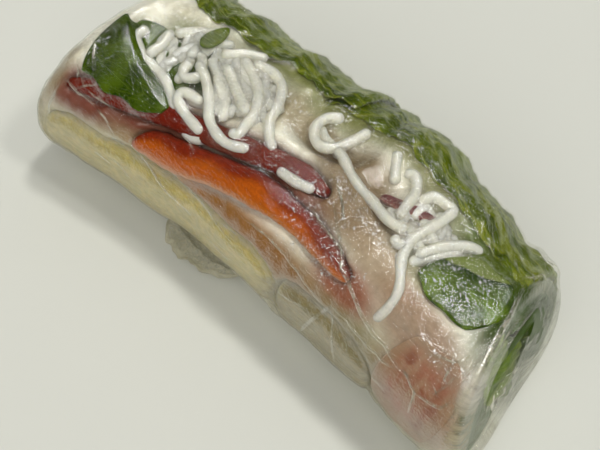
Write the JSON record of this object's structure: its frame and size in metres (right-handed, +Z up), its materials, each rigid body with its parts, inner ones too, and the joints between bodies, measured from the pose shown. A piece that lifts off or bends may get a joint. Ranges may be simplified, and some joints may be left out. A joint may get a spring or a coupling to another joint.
{
  "type": "rice paper roll",
  "caption": "Whole rice paper roll lying on its long side: clear wet wrapper round rice noodles, herb and lettuce leaves, pepper and cucumber strips and a meat slice.",
  "frame": {"origin": "on the table under the middle of the roll's box", "axes": "+X along the roll towards the end with the open pocket, +Z up, -Y to the front with the cucumber"},
  "size_m": [0.1156, 0.0516, 0.0386],
  "materials": {
    "rice_paper": "wet, clear where it clings and milky where it stands off",
    "noodle": "moist, slightly glossy cooked rice noodle",
    "herb": "dark green leaf with veins, wet",
    "lettuce": "pale and mid green crumpled leaf, wet",
    "pepper_red": "dark red pepper strip",
    "pepper_orange": "orange pepper flesh with a red skin edge",
    "cucumber": "pale yellow green strip, moist",
    "cucumber_pale": "pale grey green strip, moist",
    "meat": "pink cooked slice with white bands",
    "cabbage": "purple brown shred"
  },
  "bodies": {
    "root": {"rice_paper": "rice_paper", "noodles": "noodle", "herb_far": "herb", "herb_tip": "lettuce", "herb_near": "herb", "lettuce_far": "lettuce", "lettuce_near": "lettuce", "pocket_leaf": "lettuce", "pepper_front": "pepper_orange", "pepper_back": "pepper_red", "cucumber_far": "cucumber", "cucumber_near": "cucumber_pale", "meat_slice": "meat", "cabbage_shred": "cabbage"}
  },
  "joints": []
}
